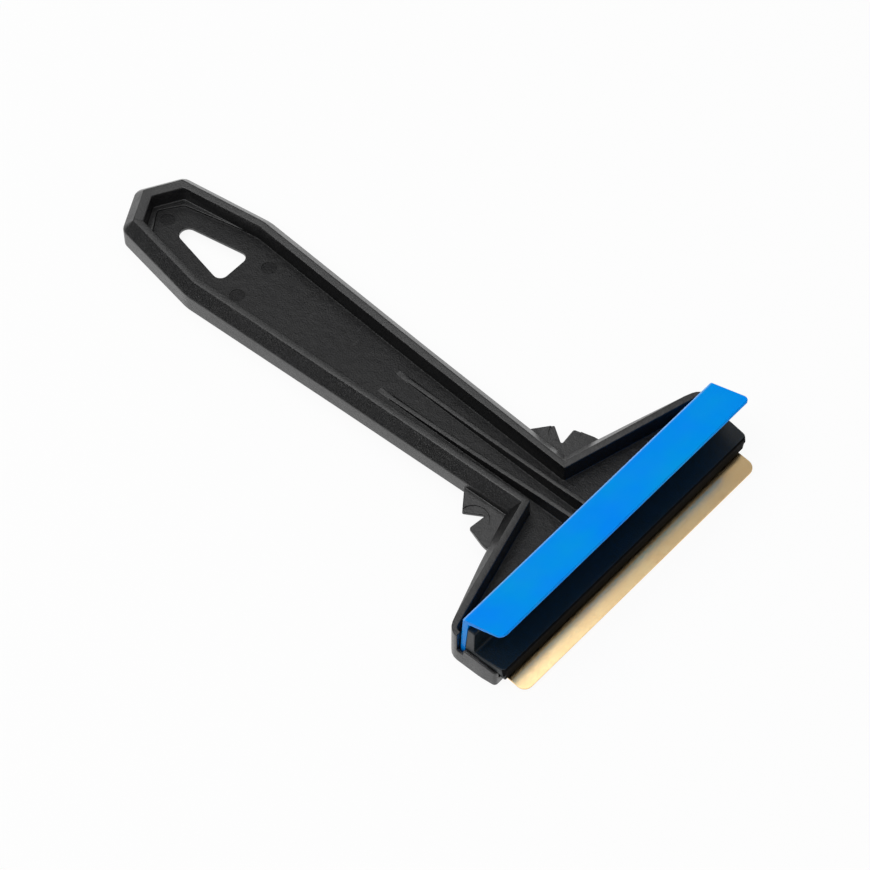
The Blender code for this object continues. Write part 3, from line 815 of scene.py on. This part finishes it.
@dataclass
class IceScraper:
    """The whole scraper: four pieces, each with its own finishes and edge radius."""

    body_edge: float = 0.35 * MM
    body_finishes: tuple[MouldedPlastic, ...] = (
        MouldedPlastic(
            "body_plastic", MOULDED_BLACK, SCUFFED_BLACK, roughness=0.36, shine=0.54, coat=0.3
        ),
        MouldedPlastic(
            "channel_plastic", MOULDED_BLACK, SCUFFED_BLACK, roughness=0.44, shine=0.42
        ),
        MouldedPlastic(
            "pin_mark_plastic", MOULDED_BLACK, SCUFFED_BLACK, roughness=0.40, shine=0.27
        ),
    )
    clamp_edge: float = 0.3 * MM
    clamp_finishes: tuple[MouldedPlastic, ...] = (
        MouldedPlastic(
            # The blue tinge in this black is a painted reflection of the blue strip above the
            # clamp.
            "clamp_plastic", (0.006, 0.0115, 0.0155), (0.02, 0.02, 0.022), roughness=0.34,
            grain_strength=0.5, shine=0.34,
        ),
        MouldedPlastic(
            "clamp_front_plastic", MOULDED_BLACK, SCUFFED_BLACK, roughness=0.75, shine=0.05
        ),
    )
    blade_edge: float = 0.05 * MM
    blade_finish: BrassSheet = BrassSheet()
    strip_edge: float = 0.22 * MM
    strip_finish: StripRubber = StripRubber()

    def build(self, effects: SharedEffects) -> list[bpy.types.Object]:
        """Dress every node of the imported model.

        Args:
            effects: the shared node groups.

        Returns:
            The four pieces.
        """
        nodes = (
            (MouldedBody("body", self.body_edge), self.body_finishes),
            (FrontClamp("blade_clamp", self.clamp_edge), self.clamp_finishes),
            (BentBlade("brass_blade", self.blade_edge), (self.blade_finish,)),
            (DressedNode("squeegee_strip", self.strip_edge), (self.strip_finish,)),
        )
        return [
            node.build(*(finish.build(effects) for finish in finishes)) for node, finishes in nodes
        ]


@dataclass(frozen=True)
class Panel:
    """A soft square lamp that faces the scraper."""

    name: str
    place: Point
    size: float
    brightness: float

    def build(self) -> bpy.types.Object:
        """Hang the lamp.

        Returns:
            The lamp's object.
        """
        data = bpy.data.lights.new(self.name, "AREA")
        data.shape = "SQUARE"
        data.size = self.size
        data.energy = self.brightness * math.pi * self.size**2
        lamp = add_object(self.name, data)
        lamp.location = self.place
        lamp.rotation_euler = (-Vector(self.place)).to_track_quat("-Z", "Y").to_euler()
        return lamp


@dataclass(frozen=True)
class Flag:
    """A black board that the camera doesn't see, and that keeps reflections dark."""

    name: str
    size: Point
    place: Point

    def build(self, material: bpy.types.Material) -> bpy.types.Object:
        """Stand the flag.

        Args:
            material: its black.

        Returns:
            The flag's object.
        """
        shape = bmesh.new()
        bmesh.ops.create_cube(shape, size=1.0)
        bmesh.ops.scale(shape, vec=self.size, verts=shape.verts)
        bmesh.ops.translate(shape, vec=self.place, verts=shape.verts)
        mesh = bpy.data.meshes.new(self.name)
        shape.to_mesh(mesh)
        shape.free()
        mesh.materials.append(material)
        flag = add_object(self.name, mesh)
        flag.visible_camera = False
        flag.visible_shadow = False
        return flag


@dataclass
class Studio:
    """A white floor under soft panels, with black flags behind and beside the scraper."""

    floor_size: float = 6.0
    floor_tone: float = 0.9
    floor_roughness: float = 0.9
    floor_glow: float = 0.92
    world_tone: float = 0.36
    flag_tone: float = 0.01
    flags: tuple[Flag, ...] = (
        Flag("back_flag", (4.0, 0.02, 0.9), (-0.2, 1.3, 0.45)),
        Flag("side_flag", (0.02, 2.6, 0.95), (-1.5, 0.7, 0.475)),
    )
    panels: tuple[Panel, ...] = (
        Panel("top_panel", (0.085, 0.52, 1.35), size=1.3, brightness=1.42),
        Panel("left_panel", (-0.75, 0.2, 1.3), size=0.8, brightness=3.4),
        Panel("front_panel", (-0.9, -1.0, 1.3), size=0.9, brightness=1.2),
        Panel("back_panel", (0.62, 1.15, 0.16), size=0.2, brightness=9.0),
    )

    @staticmethod
    def matt_material(
        name: str, tone: float, roughness: float
    ) -> tuple[bpy.types.Material, ShaderTree, bpy.types.Node]:
        """Make a grey material without a shine.

        Args:
            name: the material's name.
            tone: its grey.
            roughness: its roughness.

        Returns:
            The material, its tree and its Principled BSDF.
        """
        material, tree, shader = new_material(name)
        shader.inputs["Base Color"].default_value = as_rgba((tone, tone, tone))
        shader.inputs["Roughness"].default_value = roughness
        shader.inputs["Specular IOR Level"].default_value = 0.0
        return material, tree, shader

    def floor_material(self) -> bpy.types.Material:
        """Make the floor's white: the same to the camera and in reflections, but for shadows.

        Returns:
            The material.
        """
        material, tree, shader = self.matt_material(
            "studio_floor", self.floor_tone, self.floor_roughness
        )
        glow = tree.add("ShaderNodeEmission")
        tree.put(glow.inputs["Color"], WHITE)
        ray = tree.add("ShaderNodeLightPath")
        seen = tree.maths("MAXIMUM", ray.outputs["Is Camera Ray"], ray.outputs["Is Glossy Ray"])
        seen = tree.maths("MAXIMUM", seen, ray.outputs["Is Transmission Ray"])
        mix = tree.add("ShaderNodeMixShader")
        tree.put(mix.inputs["Fac"], tree.maths("MULTIPLY", seen, self.floor_glow))
        tree.put(mix.inputs[1], shader.outputs["BSDF"])
        tree.put(mix.inputs[2], glow.outputs["Emission"])
        output = material.node_tree.nodes["Material Output"]
        tree.put(output.inputs["Surface"], mix.outputs["Shader"])
        return material

    def lay_floor(self) -> None:
        """Lay the floor."""
        shape = bmesh.new()
        bmesh.ops.create_grid(shape, x_segments=1, y_segments=1, size=self.floor_size / 2.0)
        mesh = bpy.data.meshes.new("studio_floor")
        shape.to_mesh(mesh)
        shape.free()
        mesh.materials.append(self.floor_material())
        add_object("studio_floor", mesh)

    def light_world(self) -> None:
        """Light the scene evenly from all round."""
        world = bpy.data.worlds.new("studio_world")
        bpy.context.scene.world = world
        world.use_nodes = True
        back = world.node_tree.nodes["Background"]
        back.inputs["Color"].default_value = as_rgba(WHITE)
        back.inputs["Strength"].default_value = self.world_tone

    def build(self) -> list[bpy.types.Object]:
        """Make the floor, the flags, the world's light and the panels.

        Returns:
            The flags and the panels.
        """
        self.lay_floor()
        black, _, _ = self.matt_material("black_flag", self.flag_tone, 1.0)
        flags = [flag.build(black) for flag in self.flags]
        self.light_world()
        return flags + [panel.build() for panel in self.panels]


def main() -> None:
    """Build the scene: the camera, the studio and then each piece of the scraper."""
    logging.basicConfig(level=logging.INFO, format="%(name)s: %(message)s")
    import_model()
    PhotoCamera().build(RimFrame())
    for item in Studio().build():
        LOG.info("%s is in place", item.name)
    for piece in IceScraper().build(SharedEffects()):
        LOG.info("%s: %d faces before its edges", piece.name, len(piece.data.polygons))
    bpy.context.scene.view_settings.view_transform = "Standard"


if __name__ == "__main__":
    main()
